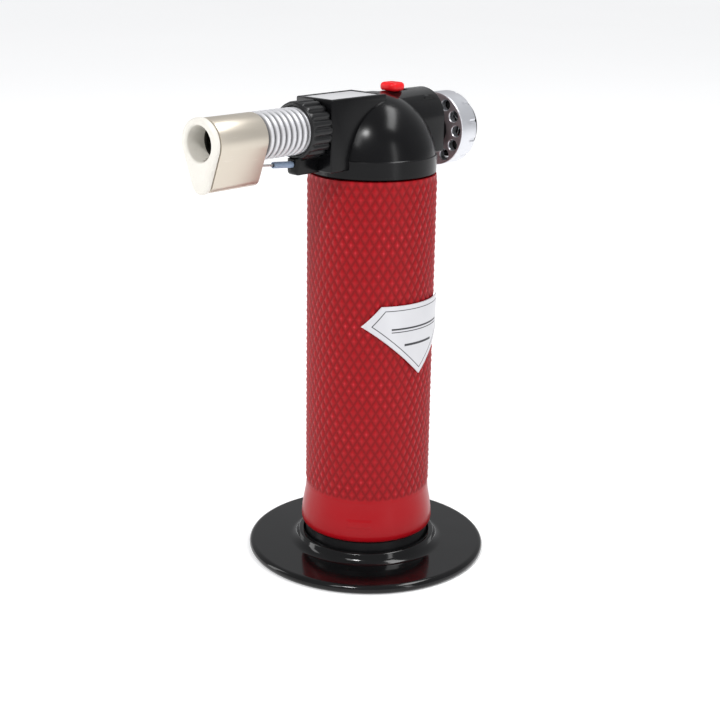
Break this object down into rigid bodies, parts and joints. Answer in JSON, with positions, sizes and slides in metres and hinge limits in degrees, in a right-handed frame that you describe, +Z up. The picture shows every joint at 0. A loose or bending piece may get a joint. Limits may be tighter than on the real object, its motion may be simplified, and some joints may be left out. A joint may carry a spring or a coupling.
{
  "type": "desk-top butane torch",
  "caption": "Upright refillable gas torch: a ribbed cylindrical tank grip on a round stand, domed head, horizontal finned burner with teardrop nozzle, gas ring and ignition button.",
  "frame": {"origin": "centre of the stand's flat underside, on the tank's axis", "axes": "+Z up along the tank, -Y the way the flame leaves the nozzle, +X the side that carries the name label"},
  "size_m": [0.073, 0.1048, 0.143],
  "materials": {
    "red_grip": "satin red lacquer over aluminium, embossed",
    "red_plastic": "gloss",
    "black_plastic": "gloss moulded",
    "chrome": "bright plated",
    "brushed_steel": "satin",
    "spring_steel": "bright",
    "cast_alloy": "fine cast, satin",
    "brass": "turned",
    "white_ceramic": "matt",
    "heat_dark_steel": "heat darkened",
    "rubber": "matt",
    "silicone_hose": "translucent satin",
    "wick_filter": "felt",
    "blue_grey_insulator": "heat-resistant tube, matt",
    "silver_label": "printed foil, satin",
    "piezo_case": "matt moulded"
  },
  "bodies": {
    "stand": {"stand_base": "black_plastic"},
    "torch": {"tank_shell": "red_grip", "tank_foot_plug": "black_plastic", "tank_foot_seal": "rubber", "filler_valve_body": "brass", "filler_valve_spring": "spring_steel", "tank_top_plug": "cast_alloy", "tank_top_seal": "rubber", "outlet_valve_body": "brass", "outlet_valve_spring": "spring_steel", "gas_wick": "wick_filter", "name_label": "silver_label", "housing_left": "black_plastic", "housing_right": "black_plastic", "housing_screw_1": "spring_steel", "housing_screw_2": "spring_steel", "housing_screw_3": "spring_steel", "top_plate": "silver_label", "nozzle_mouth": "white_ceramic", "nozzle_sleeve": "brushed_steel", "mixing_tube": "brushed_steel", "flame_holder": "heat_dark_steel", "heat_sink_tube": "cast_alloy", "jet_holder": "brass", "gas_jet": "brass", "gas_hose": "silicone_hose", "button_spring": "spring_steel", "piezo_igniter": "piezo_case", "igniter_lead": "black_plastic", "lever_pin": "brushed_steel", "electrode_rod": "brushed_steel", "electrode_insulator": "blue_grey_insulator"},
    "flow_ring": {"gas_flow_ring": "chrome"},
    "collar": {"air_collar": "black_plastic"},
    "button": {"ignition_button": "black_plastic", "piezo_plunger": "piezo_case"},
    "lever": {"gas_lever": "brass"},
    "outlet_stem": {"outlet_valve_stem": "brass"},
    "filler_stem": {"filler_valve_stem": "brass"},
    "lock": {"lock_slide": "red_plastic"}
  },
  "joints": [
    {"name": "torch_lift_off", "type": "slide", "parent": "stand", "child": "torch", "axis": [0, 0, 1], "range_m": [0, 0.012]},
    {"name": "flow_ring_turn", "type": "hinge", "parent": "torch", "child": "flow_ring", "pos_m": [0, 0.031, 0.1277], "axis": [0, -1, 0], "range_deg": [0, 180]},
    {"name": "air_collar_turn", "type": "hinge", "parent": "torch", "child": "collar", "pos_m": [0, -0.029, 0.1328], "axis": [0, -1, 0], "range_deg": [0, 90]},
    {"name": "button_press", "type": "slide", "parent": "torch", "child": "button", "axis": [0, -1, 0], "range_m": [0, 0.003], "stiffness_N_per_m": 2500, "springref_m": -0.003, "deforming": ["button_spring"]},
    {"name": "gas_lever_turn", "type": "hinge", "parent": "torch", "child": "lever", "pos_m": [0, -0.0046, 0.1233], "axis": [1, 0, 0], "range_deg": [0, 18.1]},
    {"name": "outlet_stem_lift", "type": "slide", "parent": "torch", "child": "outlet_stem", "axis": [0, 0, 1], "range_m": [0, 0.0015], "stiffness_N_per_m": 300, "springref_m": -0.001, "deforming": ["outlet_valve_spring"]},
    {"name": "filler_stem_press", "type": "slide", "parent": "torch", "child": "filler_stem", "axis": [0, 0, 1], "range_m": [0, 0.0012], "stiffness_N_per_m": 800, "springref_m": -0.001, "deforming": ["filler_valve_spring"]},
    {"name": "lock_slide_move", "type": "slide", "parent": "torch", "child": "lock", "axis": [0, 1, 0], "range_m": [0, 0.003]}
  ],
  "couplings": [
    {"joint": "gas_lever_turn", "follows": "button_press", "rad_per_m": 105},
    {"joint": "outlet_stem_lift", "follows": "button_press", "ratio": 0.5}
  ]
}
